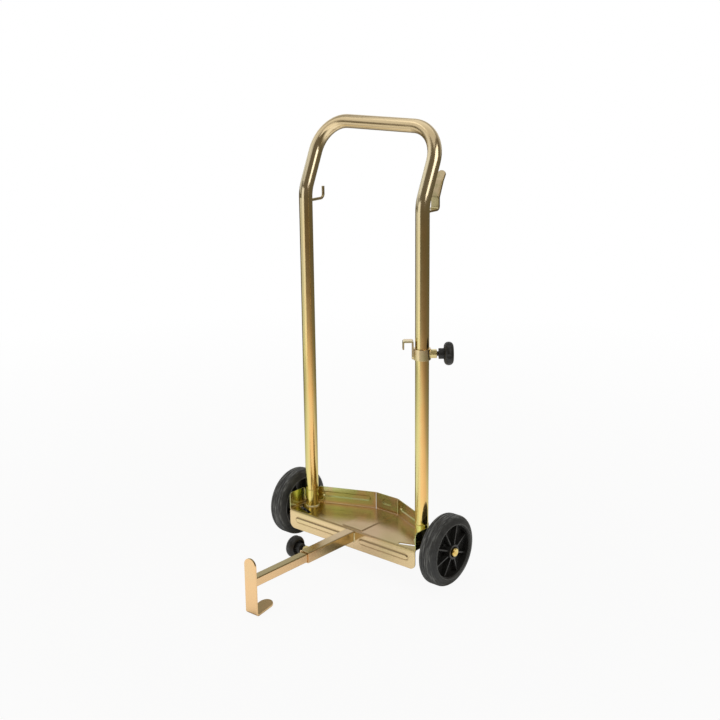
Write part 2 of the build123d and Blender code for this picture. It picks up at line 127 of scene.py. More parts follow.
# Colours of the plating
GOLD = (0.86, 0.66, 0.27, 1)
PEACH = (0.95, 0.57, 0.21, 1)
OLIVE = (0.76, 0.70, 0.29, 1)
PALE_GOLD = (0.85, 0.70, 0.39, 1)
PALE_PEACH = (0.88, 0.62, 0.30, 1)
PALE_OLIVE = (0.81, 0.71, 0.41, 1)
# Painted highlight: paler tint on the lean so that its highlights read whiter
LEAN_HIGHLIGHT_PALE = (0.86, 0.76, 0.54, 1)
CROSSBAR_TAN = (0.86, 0.69, 0.42, 1)
STUB_YELLOW = (0.86, 0.71, 0.22, 1)
STUB_GREEN = (0.74, 0.72, 0.20, 1)
APRON_GOLD = (0.82, 0.66, 0.35, 1)
APRON_PEACH = (0.90, 0.67, 0.39, 1)
# Painted shade in the apron's creases
CREASE_SHADE_BROWN = (0.46, 0.32, 0.15, 1)
SHEET_GOLD = (0.66, 0.51, 0.26, 1)
SHEET_PEACH = (0.71, 0.51, 0.30, 1)
SHEET_DULL = (0.60, 0.50, 0.22, 1)
WALL_OLIVE = (0.58, 0.63, 0.26, 1)
WALL_BROWN = (0.68, 0.54, 0.29, 1)
ARM_PEACH = (0.82, 0.55, 0.29, 1)
ARM_GOLD = (0.78, 0.59, 0.31, 1)
# Painted shade on the arm's sides towards the apron
ARM_APRON_SHADE = (0.46, 0.36, 0.17, 1)
ARM_TOP_OLIVE = (0.50, 0.41, 0.20, 1)
ARM_TOP_TAN = (0.80, 0.61, 0.37, 1)
PLATE_GOLD = (0.84, 0.61, 0.33, 1)
PLATE_PEACH = (0.90, 0.60, 0.31, 1)
TONGUE_BROWN = (0.66, 0.45, 0.22, 1)
TONGUE_OLIVE = (0.52, 0.43, 0.19, 1)
FITTING_GOLD = (0.83, 0.67, 0.41, 1)
FITTING_PEACH = (0.86, 0.65, 0.43, 1)
FITTING_OLIVE = (0.78, 0.68, 0.36, 1)
NUT_YELLOW = (0.90, 0.77, 0.36, 1)
NUT_GOLD = (0.84, 0.68, 0.34, 1)
CAP_YELLOW = (0.92, 0.74, 0.30, 1)
CAP_GOLD = (0.80, 0.53, 0.14, 1)
HOOK_TAN = (0.66, 0.54, 0.34, 1)
HOOK_OLIVE = (0.52, 0.46, 0.25, 1)
WELD_PALE = (0.88, 0.80, 0.52, 1)
WELD_GOLD = (0.80, 0.66, 0.36, 1)

# Colours of the screws, rubber and plastic
STUD_DARK = (0.060, 0.050, 0.045, 1)
STUD_SOFT = (0.110, 0.090, 0.078, 1)
RUBBER = (0.033, 0.035, 0.036, 1)
RUBBER_DUSTY = (0.255, 0.265, 0.262, 1)
RUBBER_WALL = (0.071, 0.074, 0.074, 1)
# Painted highlight round the tyre's lip at the rim
RUBBER_LIP_HIGHLIGHT = (0.135, 0.140, 0.139, 1)
HUB_BLACK = (0.028, 0.028, 0.027, 1)
HUB_BLACK_SOFT = (0.044, 0.044, 0.042, 1)
KNOB_BLACK = (0.020, 0.020, 0.020, 1)
KNOB_BLACK_SOFT = (0.034, 0.034, 0.033, 1)
BUSH_GREY = (0.10, 0.10, 0.10, 1)
BUSH_PALE = (0.15, 0.15, 0.15, 1)

# Heights and lengths where the tints change
STUB_ZONE = (0.15, 0.20)
PALE_ZONE = (0.45, 0.70)
LEAN_ZONE = (0.77, 0.85)
CROSSBAR_ZONE = (0.92, 0.97)
FLOOR_ZONE = (0.080, 0.087)
WALL_ZONE = (0.090, 0.097)
CREASE_REACH = 0.005
ARM_RUN = (-0.23, 0.09)
ARM_WANDER = 0.02
TREAD_ZONE = (TYRE_R - 0.008, TYRE_R - 0.003)

# Patterns of the finishes
STUB_SHARE = 0.6
LEAN_SHARE = 0.8
CREASE_OPEN = (0.86, 0.96)
NOISE_SPAN = (0.3, 0.7)
DRIFT_STOPS = (0.36, 0.50, 0.64)
APRON_STOPS = (0.38, 0.62)
WALL_STOPS = (0.42, 0.60)
ARM_SIDE_STOPS = (0.0, 0.55, 0.68, 0.85)
ARM_TOP_STOPS = (0.5, 0.85)
PLATE_STOPS = (0.35, 0.55)
TONGUE_STOPS = (0.42, 0.58)
STUD_STOPS = (0.32, 0.70)
RUBBER_STOPS = (0.35, 0.70)
PLASTIC_STOPS = (0.30, 0.72)
TUBE_STOPS = (0.03, 0.25, 0.75)
TUBE_WANDER = 0.08
# Painted sheen: the side against which the tube's peach-to-olive bands are set
SHEEN_SIDE = (0.75, 0.66, 0.0)
SHEEN_SHIFT = 0.18
UP_SPAN = (0.3, 0.7)
STREAK_SCALE = (420.0, 420.0, 30.0)
SCUFF_ACROSS = 320.0
SCUFF_ROUND = 3.0
FINE_GRAIN = 900.0
ZINC_EDGE = 0.0007
ZINC_BUMP = 0.01
BUMP_DISTANCE = 0.0004
BEVEL_SAMPLES = 4
SHADE_SAMPLES = 8

# Studio
WHITE = (1, 1, 1, 1)
FLOOR_WHITE = (0.86, 0.86, 0.85, 1)
FLOOR_R = 60
FLOOR_SEGMENTS = 96
FAR_WHITE = (0.6, 2.5)
NEAR_WHITE_SHARE = 0.93
ROOM_STOPS = (0.0, 0.5, 1.0)
ROOM_LOW = (0.40, 0.39, 0.37, 1)
ROOM_MIDDLE = (0.36, 0.35, 0.33, 1)
ROOM_TOP = (0.40, 0.40, 0.40, 1)
ROOM_DARK = (0.145, 0.122, 0.088, 1)
AWAY_FROM_CAMERA = (-0.80, 0.60, 0.0)
DARK_SIDE = (0.30, -0.05)
BACKDROP_SIDE = (0.4, 0.95)
BACKDROP_SHINE = 0.80
BACKDROP_TOP = (0.35, 0.60)
BRIGHT_SPOT = (0.15, -0.45, 0.0)
PAPER_R = 3.5
PAPER_STOPS = (0.14, 0.28, 0.40, 0.55, 1.0)
# Painted light seen in reflections: bright at the spot, fading with distance
REFLECTED_LIGHT_TONES = (
    WHITE,
    (0.78, 0.76, 0.72, 1),
    (0.38, 0.36, 0.32, 1),
    (0.20, 0.18, 0.14, 1),
    (0.13, 0.11, 0.07, 1),
)
PAPER_SHADE = (0.10, 0.085, 0.055, 1)
SHADOW_REACH = 0.35
SHADOW_OPEN = (0.30, 0.95)

# Lamps: name, place, target, width, height and watts
LAMPS = (
    ("key_panel", (-0.39, -1.45, 0.65), (0, 0.0, 0.65), 1.18, 1.30, 3.8),
    ("left_panel", (-1.29, -0.77, 0.33), (0, 0.0, 0.33), 1.21, 0.66, 1.3),
    ("left_box", (-0.58, -0.34, 1.64), (0.05, 0.18, 1.64), 0.75, 0.98, 1.05),
    ("right_box", (1.75, -0.06, 1.85), (0.1, 0.15, 0.9), 1.35, 1.35, 9.0),
    ("top_panel", (-0.2, 0.1, 2.8), (0, 0.1, 0), 2.6, 2.6, 10.0),
)


def clear_scene():
    """Removes whatever the empty session holds."""
    for leftover in list(bpy.data.objects):
        bpy.data.objects.remove(leftover)


class Nodes:
    """Short way to build a node tree: add a node with its values, link sockets."""

    def __init__(self, tree):
        self.tree = tree
        tree.nodes.clear()

    def put(self, socket, value):
        """Links another node's output to a socket, or sets the socket's own value."""
        if isinstance(value, bpy.types.NodeSocket):
            self.tree.links.new(value, socket)
        else:
            socket.default_value = value

    def add(self, kind, inputs=None, **settings):
        node = self.tree.nodes.new("ShaderNode" + kind)
        for key, value in settings.items():
            setattr(node, key, value)
        for key, value in (inputs or {}).items():
            self.put(node.inputs[key], value)
        return node

    def noise(self, coords, scale, detail=2.0, roughness=0.5):
        inputs = {"Vector": coords, "Scale": scale, "Detail": detail, "Roughness": roughness}
        return self.add("TexNoise", inputs).outputs["Fac"]

    def ramp(self, value, places, colours):
        """Colour that changes from one to the next at the given places of a value."""
        node = self.add("ValToRGB", {"Fac": value})
        elements = node.color_ramp.elements
        while len(elements) < len(places):
            elements.new(1.0)
        for element, place, colour in zip(elements, places, colours):
            element.position = place
            element.color = colour
        return node.outputs["Color"]

    def remap(self, value, span, low=0.0, high=1.0):
        """Carries a span of a value over to the range from low to high, and no further."""
        inputs = {"Value": value, "From Min": span[0], "From Max": span[1], "To Min": low, "To Max": high}
        return self.add("MapRange", inputs).outputs["Result"]

    def math(self, operation, first, second):
        return self.add("Math", {0: first, 1: second}, operation=operation).outputs["Value"]

    def vector(self, operation, first, second=(0, 0, 0)):
        return self.add("VectorMath", {0: first, 1: second}, operation=operation).outputs["Vector"]

    def measure(self, operation, first, second=(0, 0, 0)):
        """Vector operation that gives a number."""
        return self.add("VectorMath", {0: first, 1: second}, operation=operation).outputs["Value"]

    def axis(self, vector, name):
        return self.add("SeparateXYZ", {"Vector": vector}).outputs[name]

    def openness(self, reach, **settings):
        """1 on open surfaces, less in creases and near other surfaces within the reach."""
        node = self.add("AmbientOcclusion", {"Distance": reach}, samples=SHADE_SAMPLES, **settings)
        return node.outputs["AO"]

    def mix(self, factor, first, second):
        """Mix of two colours, whose sockets are found by place because other types share their names."""
        node = self.add("Mix", data_type="RGBA")
        for place, value in ((0, factor), (6, first), (7, second)):
            self.put(node.inputs[place], value)
        return node.outputs[2]


def new_material(name):
    """Named material with an empty node tree, and the way to build that tree."""
    material = bpy.data.materials.new(name)
    material.use_nodes = True
    return material, Nodes(material.node_tree)


def finish_surface(nodes, colour, roughness, height, bump, edge, **values):
    """Principled surface with rounded-edge normals under a fine bump."""
    rounded = nodes.add("Bevel", {"Radius": edge}, samples=BEVEL_SAMPLES).outputs["Normal"]
    relief = {"Strength": bump, "Distance": BUMP_DISTANCE, "Height": height, "Normal": rounded}
    normal = nodes.add("Bump", relief).outputs["Normal"]
    inputs = {"Base Color": colour, "Roughness": roughness, "Normal": normal, **values}
    shader = nodes.add("BsdfPrincipled", inputs)
    nodes.add("OutputMaterial", {"Surface": shader.outputs["BSDF"]})


def zinc_finish(nodes, place, tint, rough, bump=ZINC_BUMP):
    """Plated steel in a given tint, with faint upright streaks and soft changes of gloss."""
    stretched = nodes.add("Mapping", {"Vector": place, "Scale": STREAK_SCALE}).outputs["Vector"]
    streaks = nodes.noise(stretched, scale=1.0)
    roughness = nodes.remap(nodes.noise(place, scale=22.0, detail=3.0), NOISE_SPAN, *rough)
    finish_surface(nodes, tint, roughness, streaks, bump, ZINC_EDGE, Metallic=1.0)


def sheen_bands(nodes, coords):
    """Value that runs round a tube, lowest at its front right and back left, for the rainbow tint: a painted
    sheen that stands in for the plating's change of colour with the angle of view.
    """
    facing = nodes.measure("DOT_PRODUCT", coords["Normal"], SHEEN_SIDE)
    wander = nodes.remap(nodes.noise(coords["Object"], scale=14.0), NOISE_SPAN, -TUBE_WANDER, TUBE_WANDER)
    shifted = nodes.math("SUBTRACT", facing, SHEEN_SHIFT)
    return nodes.math("ADD", nodes.math("MULTIPLY", shifted, shifted), wander)


def tube_material():
    """Yellow zinc on the handle: peach to olive round the tube as a painted sheen, yellower at its feet,
    paler higher up, and paler still on the lean as a painted highlight.
    """
    material, nodes = new_material("tube_zinc")
    coords = nodes.add("TexCoord").outputs
    # painted sheen: peach on faces turned to the front right and back left, olive on faces turned to the
    # back right and front left
    sheen = sheen_bands(nodes, coords)
    height = nodes.axis(coords["Object"], "Z")
    low_tint = nodes.ramp(sheen, TUBE_STOPS, (PEACH, GOLD, OLIVE))
    high_tint = nodes.ramp(sheen, TUBE_STOPS, (PALE_PEACH, PALE_GOLD, PALE_OLIVE))
    upright = nodes.mix(nodes.remap(height, PALE_ZONE), low_tint, high_tint)
    # painted highlight: the lean turns paler so that its highlights read whiter
    leaning = nodes.mix(nodes.remap(height, LEAN_ZONE, 0.0, LEAN_SHARE), upright, LEAN_HIGHLIGHT_PALE)
    topped = nodes.mix(nodes.remap(height, CROSSBAR_ZONE), leaning, CROSSBAR_TAN)
    tint = nodes.mix(nodes.remap(height, STUB_ZONE, STUB_SHARE, 0.0), topped, STUB_YELLOW)
    zinc_finish(nodes, coords["Object"], tint, rough=(0.13, 0.21))
    return material


def sheet_material():
    """Yellow zinc on the folded sheet: peach apron with painted shade in its creases, gold floor, olive
    clouds on the walls.
    """
    material, nodes = new_material("sheet_zinc")
    place = nodes.add("TexCoord").outputs["Object"]
    drift = nodes.noise(place, scale=7.0)
    clouds = nodes.noise(place, scale=24.0, detail=3.0, roughness=0.6)
    apron_tint = nodes.ramp(drift, APRON_STOPS, (APRON_GOLD, APRON_PEACH))
    floor_tint = nodes.ramp(drift, DRIFT_STOPS, (SHEET_DULL, SHEET_GOLD, SHEET_PEACH))
    wall_tint = nodes.ramp(clouds, WALL_STOPS, (WALL_OLIVE, WALL_BROWN))
    height = nodes.axis(place, "Z")
    # painted shade: the apron turns brown in its creases, where little is open round it
    flat = nodes.remap(nodes.openness(CREASE_REACH, only_local=True), CREASE_OPEN)
    crease_shaded = nodes.mix(flat, CREASE_SHADE_BROWN, apron_tint)
    low = nodes.mix(nodes.remap(height, FLOOR_ZONE), crease_shaded, floor_tint)
    tint = nodes.mix(nodes.remap(height, WALL_ZONE), low, wall_tint)
    zinc_finish(nodes, place, tint, rough=(0.17, 0.25))
    return material


def facing_up(nodes, coords):
    """1 where the surface faces up, 0 on upright and lower faces."""
    return nodes.remap(nodes.axis(coords["Normal"], "Z"), UP_SPAN)


def arm_material():
    """Yellow zinc on the arm: peach sides with painted shade darkening them towards the apron, and a top
    that is dull in front.
    """
    material, nodes = new_material("arm_zinc")
    coords = nodes.add("TexCoord").outputs
    along = nodes.axis(coords["Object"], "Y")
    wander = nodes.remap(nodes.noise(coords["Object"], scale=30.0), NOISE_SPAN, -ARM_WANDER, ARM_WANDER)
    share = nodes.remap(nodes.math("ADD", along, wander), ARM_RUN)
    # painted shade: the sides turn dark brown towards the apron
    side_tint = nodes.ramp(share, ARM_SIDE_STOPS, (ARM_PEACH, ARM_PEACH, ARM_GOLD, ARM_APRON_SHADE))
    top_tint = nodes.ramp(share, ARM_TOP_STOPS, (ARM_TOP_OLIVE, ARM_TOP_TAN))
    tint = nodes.mix(facing_up(nodes, coords), side_tint, top_tint)
    zinc_finish(nodes, coords["Object"], tint, rough=(0.18, 0.28))
    return material


def plate_material():
    """Yellow zinc on the bent foot: peach on its upright, brown on the tongue that lies under the drum."""
    material, nodes = new_material("plate_zinc")
    coords = nodes.add("TexCoord").outputs
    drift = nodes.noise(coords["Object"], scale=14.0)
    upright_tint = nodes.ramp(drift, PLATE_STOPS, (PLATE_GOLD, PLATE_PEACH))
    tongue_tint = nodes.ramp(drift, TONGUE_STOPS, (TONGUE_BROWN, TONGUE_OLIVE))
    tint = nodes.mix(facing_up(nodes, coords), upright_tint, tongue_tint)
    zinc_finish(nodes, coords["Object"], tint, rough=(0.18, 0.28))
    return material


def zinc_material(name, tints, drift_scale, rough, bump=ZINC_BUMP):
    """Yellow passivated zinc whose tint drifts between three colours."""
    material, nodes = new_material(name)
    place = nodes.add("TexCoord").outputs["Object"]
    tint = nodes.ramp(nodes.noise(place, drift_scale), DRIFT_STOPS, tints)
    zinc_finish(nodes, place, tint, rough, bump)
    return material


def stud_material():
    """Blackened steel of the lock screws, a little uneven in tone and gloss."""
    material, nodes = new_material("stud_steel")
    place = nodes.add("TexCoord").outputs["Object"]
    flow = nodes.noise(place, scale=160.0, detail=3.0)
    colour = nodes.ramp(flow, STUD_STOPS, (STUD_DARK, STUD_SOFT))
    roughness = nodes.remap(flow, NOISE_SPAN, low=0.34, high=0.50)
    grain = nodes.noise(place, FINE_GRAIN)
    finish_surface(nodes, colour, roughness, grain, bump=0.3, edge=0.0003, Metallic=1.0)
    return material


def tyre_scuffs(nodes, radius, spoke, place):
    """Noise drawn out round the wheel, as the rubber is scuffed by rolling."""
    spread = {
        "X": nodes.math("MULTIPLY", nodes.axis(place, "X"), SCUFF_ACROSS),
        "Y": nodes.math("MULTIPLY", radius, SCUFF_ACROSS),
        "Z": nodes.math("MULTIPLY", nodes.axis(spoke, "Y"), SCUFF_ROUND),
    }
    turn = nodes.math("MULTIPLY", nodes.axis(spoke, "Z"), SCUFF_ROUND)
    vector = nodes.add("CombineXYZ", spread).outputs["Vector"]
    inputs = {"Vector": vector, "W": turn, "Scale": 1.0, "Detail": 3.0, "Roughness": 0.6}
    return nodes.add("TexNoise", inputs, noise_dimensions="4D").outputs["Fac"]


def rubber_material():
    """Tyre rubber, scuffed grey and streaky on the tread, darker on the side walls, with a painted highlight
    round the lip at the rim.
    """
    material, nodes = new_material("tyre_rubber")
    place = nodes.add("TexCoord").outputs["Object"]
    flat = nodes.vector("MULTIPLY", nodes.vector("SUBTRACT", place, AXLE_CENTRE), WHEEL_PLANE)
    radius = nodes.measure("LENGTH", flat)
    scuffs = tyre_scuffs(nodes, radius, nodes.vector("NORMALIZE", flat), place)
    tread = nodes.ramp(scuffs, DRIFT_STOPS, (RUBBER, RUBBER_WALL, RUBBER_DUSTY))
    tone = nodes.noise(place, scale=60.0, detail=4.0, roughness=0.6)
    wall_tone = nodes.ramp(tone, RUBBER_STOPS, (RUBBER, RUBBER_WALL))
    # painted highlight: a lighter ring on the lip next to the rim
    lip_highlight = nodes.remap(radius, (RIM_R + LIP_W, RIM_R + LIP_W / 2))
    wall = nodes.mix(lip_highlight, wall_tone, RUBBER_LIP_HIGHLIGHT)
    colour = nodes.mix(nodes.remap(radius, TREAD_ZONE), wall, tread)
    roughness = nodes.remap(scuffs, NOISE_SPAN, low=0.46, high=0.64)
    grain = nodes.math("ADD", scuffs, nodes.noise(place, FINE_GRAIN))
    finish_surface(nodes, colour, roughness, grain, bump=0.3, edge=0.0006)
    return material


def plastic_material(name, tones, rough, grain_scale, bump, edge):
    """Moulded plastic with a slight flow tone and a fine surface grain."""
    material, nodes = new_material(name)
    place = nodes.add("TexCoord").outputs["Object"]
    flow = nodes.noise(place, scale=55.0, detail=3.0)
    colour = nodes.ramp(flow, PLASTIC_STOPS, tones)
    roughness = nodes.remap(flow, NOISE_SPAN, *rough)
    finish_surface(nodes, colour, roughness, nodes.noise(place, grain_scale), bump, edge)
    return material


def mesh_object(name, mesh, material, body):
    """Puts a finished mesh in the scene, smooth, in its material and riding on its body."""
    data = bpy.data.meshes.new(name)
    mesh.to_mesh(data)
    mesh.free()
    for face in data.polygons:
        face.use_smooth = True
    data.materials.append(material)
    piece = bpy.data.objects.new(name, data)
    bpy.context.scene.collection.objects.link(piece)
    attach(piece, body)
    return piece


def join_rings(mesh, rings, closed):
    """Faces between each ring of points and the next, and from the last to the first if closed."""
    following = rings[1:] + (rings[:1] if closed else [])
    for ring, after in zip(rings, following):
        for k in range(len(ring)):
            nxt = (k + 1) % len(ring)
            mesh.faces.new((ring[k], ring[nxt], after[nxt], after[k]))


def bend_corner(before, corner, after):
    """Points of a smooth curve that rounds the tyre's shoulder between its side wall and its crown."""
    start = corner + (before - corner).normalized() * SHOULDER_REACH
    end = corner + (after - corner).normalized() * SHOULDER_REACH
    points = []
    for i in range(SHOULDER_STEPS + 1):
        t = i / SHOULDER_STEPS
        points.append(start * (1 - t) ** 2 + corner * 2 * t * (1 - t) + end * t ** 2)
    return points


def side_wall_points():
    """Bulged side wall from its raised lip at the rim to the crown's edge, as (radius, offset) pairs."""
    lip = Vector((RIM_R, TYRE_W / 2))
    crown = Vector((TYRE_R, TYRE_CROWN_W / 2))
    along = crown - lip
    out = Vector((-along.y, along.x)).normalized()
    points = [lip, lip + Vector((LIP_W * LIP_START, LIP_RISE)), lip + Vector((LIP_W * LIP_END, LIP_RISE))]
    for i in range(1, TYRE_WALL_STEPS + 1):
        t = i / TYRE_WALL_STEPS
        points.append(lip + along * t + out * TYRE_BULGE * 4 * t * (1 - t))
    return [p for p in points if p.x <= lip.x + LIP_W * LIP_END or p.x >= lip.x + LIP_W]


def tread_points():
    """Crown from one edge to the other with its grooves, as (radius, offset) pairs."""
    points = []
    for i in range(GROOVES):
        centre = (i - (GROOVES - 1) / 2) * -GROOVE_PITCH
        for share, depth in GROOVE_SECTION:
            points.append(Vector((TYRE_R - GROOVE_DEPTH * depth, centre + GROOVE_W * share)))
    return points


def tyre_profile():
    """Closed section of the tyre: side wall, rounded shoulder, grooved crown and the same mirrored."""
    wall = side_wall_points()
    crown_edge = wall.pop()
    tread = tread_points()
    shoulder = bend_corner(wall[-2], crown_edge, tread[0])
    half = [p for p in wall if p.x < shoulder[0].x - SHOULDER_GAP] + shoulder
    mirrored = [Vector((p.x, -p.y)) for p in reversed(half)]
    return half + tread + mirrored


def grooved_tyre(name, node, body, material):
    """Revolves the tyre's profile about the axle, in place of the plain solid."""
    centre = middle(node)
    profile = tyre_profile()
    mesh = bmesh.new()
    rings = []
    for i in range(TYRE_SEGMENTS):
        angle = math.tau * i / TYRE_SEGMENTS
        out = Vector((0, math.cos(angle), math.sin(angle)))
        rings.append([mesh.verts.new(centre + out * p.x + Vector((p.y, 0, 0))) for p in profile])
    join_rings(mesh, rings, closed=True)
    bmesh.ops.recalc_face_normals(mesh, faces=mesh.faces)
    piece = mesh_object(name, mesh, material, body)
    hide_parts(node)
    return piece


def sampled(points, closed):
    """Even points along a polyline, each with its direction and the distance from the start."""
    corners = [Vector(p) for p in points]
    if closed:
        corners.append(corners[0])
    samples = []
    travelled = 0.0
    for start, end in zip(corners, corners[1:]):
        run = end - start
        along = run.normalized()
        count = max(1, round(run.length / BEAD_STEP))
        for i in range(count):
            samples.append((start + run * (i / count), along, travelled + run.length * i / count))
        travelled += run.length
    if not closed:
        samples.append((corners[-1], (corners[-1] - corners[-2]).normalized(), travelled))
    return samples


def weld_bead(name, paths, radius, material, body):
    """Rippled bead along each path of points, for the joins of welded steel."""
    mesh = bmesh.new()
    for points, closed in paths:
        rings = []
        for at, along, distance in sampled(points, closed):
            side = along.orthogonal().normalized()
            other = along.cross(side)
            reach = radius * (1 - RIPPLE_DEPTH * abs(math.sin(math.pi * distance / RIPPLE_PITCH)))
            ring = []
            for k in range(BEAD_SIDES):
                angle = math.tau * k / BEAD_SIDES
                ring.append(mesh.verts.new(at + (side * math.cos(angle) + other * math.sin(angle)) * reach))
            rings.append(ring)
        join_rings(mesh, rings, closed)
        if not closed:
            mesh.faces.new(rings[0])
            mesh.faces.new(rings[-1])
    bmesh.ops.recalc_face_normals(mesh, faces=mesh.faces)
    return mesh_object(name, mesh, material, body)


def middle(node):
    """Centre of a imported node's box."""
    low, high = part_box(node)
    return (low + high) / 2


def polygon(sides, radius, steps=1):
    """Closed outline of (across, up) points with steps points along each side."""
    corners = []
    for k in range(sides):
        angle = math.tau * k / sides
        corners.append(Vector((math.cos(angle), math.sin(angle))) * radius)
    points = []
    for start, end in zip(corners, corners[1:] + corners[:1]):
        points += [start.lerp(end, i / steps) for i in range(steps)]
    return points


def oblong(half_width, half_height, steps):
    """Closed rectangular outline of (across, up) points, divided along its width."""
    run = [half_width * (2 * i / steps - 1) for i in range(steps + 1)]
    return [Vector((t, -half_height)) for t in run] + [Vector((t, half_height)) for t in reversed(run)]


def on_tube(flat, centre, angle, radius):
    """Lays (across, up) points on an upright tube, at an angle round it."""
    out = Vector((math.cos(angle), math.sin(angle), 0))
    across = Vector((-out.y, out.x, 0))
    points = []
    for p in flat:
        points.append(centre + out * math.sqrt(radius**2 - p.x**2) + across * p.x + Vector((0, 0, p.y)))
    return points


def stub_joins():
    """Rings where the stubs stand on the pan."""
    joins = []
    for side in ("left", "right"):
        foot = middle(f"{side}_stub")
        foot.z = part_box(f"{side}_stub")[0].z
        ring = [foot + Vector((p.x, p.y, 0)) for p in polygon(STUB_RING_SIDES, TUBE_R)]
        joins.append((ring, True))
    return joins


def socket_joins():
    """Sides and underside of the socket where it passes through the apron, and both axle brackets."""
    low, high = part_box("arm_socket")
    face_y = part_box("base_plate")[0].y + APRON_RIB
    top = high.z - APRON_BEND
    corners = [(low.x, top), (low.x, low.z), (high.x, low.z), (high.x, top)]
    joins = [([Vector((x, face_y, z)) for x, z in corners], False)]
    for side in ("left", "right"):
        low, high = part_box(f"{side}_axle_bracket")
        inner = high.x if side == "left" else low.x
        outer = inner + math.copysign(BRACKET_BEAD, inner)
        lines = [(outer, low.y), (inner, low.y), (inner, high.y), (outer, high.y)]
        joins.append(([Vector((x, y, high.z)) for x, y in lines], False))
    return joins


def fitting_joins():
    """Feet of the hose hooks on the uprights and the seat of the nut on the socket."""
    rod = middle("left_stub")
    rod.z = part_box("rod_hook")[0].z + ROD_R
    rod_ring = on_tube(polygon(ROD_RING_SIDES, ROD_R), rod, TUBE_BACK, TUBE_R)
    strip = middle("right_stub")
    strip.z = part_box("strip_hook")[0].z + STRIP_T / 2
    strip_ring = on_tube(oblong(STRIP_HALF, STRIP_T / 2, STRIP_STEPS), strip, TUBE_BACK, TUBE_R)
    nut = middle("socket_nut")
    nut.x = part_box("arm_socket")[0].x
    seat = [nut + Vector((0, p.x, p.y)) for p in polygon(NUT_SIDES, NUT_R)]
    return [(rod_ring, True), (strip_ring, True), (seat, True)]


def foot_joins():
    """Square ring where the foot's tube meets its plate."""
    low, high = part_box("foot_tube")
    corners = [(low.x, low.z), (high.x, low.z), (high.x, high.z), (low.x, high.z)]
    return [([Vector((x, low.y, z)) for x, z in corners], True)]


def clamp_joins():
    """Seat of the nut on the collar, and both sides of the hook's leg."""
    centre = middle("clamp_collar")
    seat = on_tube(polygon(NUT_SIDES, NUT_R, NUT_SEAT_STEPS), centre, CLAMP_ANGLE, COLLAR_R)
    joins = [(seat, True)]
    for side in (-HOOK_BEAD_SIDE, HOOK_BEAD_SIDE):
        line = [Vector((side, -HOOK_BEAD_HALF)), Vector((side, HOOK_BEAD_HALF))]
        joins.append((on_tube(line, centre, HOOK_ANGLE, HOOK_BEAD_R), False))
    return joins


def make_camera():
    """Camera at the photograph's angle, with its roll."""
    yaw, pitch, roll = (math.radians(a) for a in (CAMERA_YAW, CAMERA_PITCH, CAMERA_ROLL))
    forward = Vector((-math.sin(yaw) * math.cos(pitch), math.cos(yaw) * math.cos(pitch), -math.sin(pitch)))
    right = Vector((math.cos(yaw), math.sin(yaw), 0))
    up = right.cross(forward)
    turned_right = right * math.cos(roll) + up * math.sin(roll)
    turned_up = up * math.cos(roll) - right * math.sin(roll)
    data = bpy.data.cameras.new("camera")
    data.lens = CAMERA_LENS
    data.sensor_width = CAMERA_SENSOR
    data.clip_end = CAMERA_FAR
    camera = bpy.data.objects.new("camera", data)
    camera.matrix_world = Matrix((
        (turned_right.x, turned_up.x, -forward.x, CAMERA_AT[0]),
        (turned_right.y, turned_up.y, -forward.y, CAMERA_AT[1]),
        (turned_right.z, turned_up.z, -forward.z, CAMERA_AT[2]),
        (0, 0, 0, 1),
    ))
    bpy.context.scene.collection.objects.link(camera)
    bpy.context.scene.camera = camera


def soft_box(name, at, target, width, height, watts):
    """Rectangular soft light that points at its target and isn't seen by the camera."""
    data = bpy.data.lights.new(name, "AREA")
    data.shape = "RECTANGLE"
    data.size = width
    data.size_y = height
    data.energy = watts
    light = bpy.data.objects.new(name, data)
    light.location = at
    light.rotation_mode = "QUATERNION"
    light.rotation_quaternion = (Vector(target) - Vector(at)).to_track_quat("-Z", "Y")
    light.visible_camera = False
    bpy.context.scene.collection.objects.link(light)


def ray_kinds(nodes):
    """Two values: 1 on rays from the camera or through clear pieces, and 1 on rays from shiny surfaces."""
    path = nodes.add("LightPath").outputs
    direct = nodes.math("MAXIMUM", path["Is Camera Ray"], path["Is Transmission Ray"])
    return direct, path["Is Glossy Ray"]


def make_world():
    """White background, with a dimmer studio round it for the light and the reflections."""
    world = bpy.data.worlds.new("studio")
    bpy.context.scene.world = world
    world.use_nodes = True
    nodes = Nodes(world.node_tree)
    direction = nodes.add("TexCoord").outputs["Generated"]
    height = nodes.axis(direction, "Z")
    behind = nodes.measure("DOT_PRODUCT", direction, AWAY_FROM_CAMERA)
    room = nodes.ramp(height, ROOM_STOPS, (ROOM_LOW, ROOM_MIDDLE, ROOM_TOP))
    studio = nodes.mix(nodes.remap(behind, DARK_SIDE), room, ROOM_DARK)
    backdrop = nodes.remap(behind, BACKDROP_SIDE, 0.0, BACKDROP_SHINE)
    shine = nodes.math("MULTIPLY", backdrop, nodes.remap(height, BACKDROP_TOP, 1.0, 0.0))
    direct, glossy = ray_kinds(nodes)
    factor = nodes.math("MAXIMUM", direct, nodes.math("MULTIPLY", glossy, shine))
    colour = nodes.mix(factor, studio, WHITE)
    background = nodes.add("Background", {"Color": colour, "Strength": 1.0})
    nodes.add("OutputWorld", {"Surface": background.outputs["Background"]})


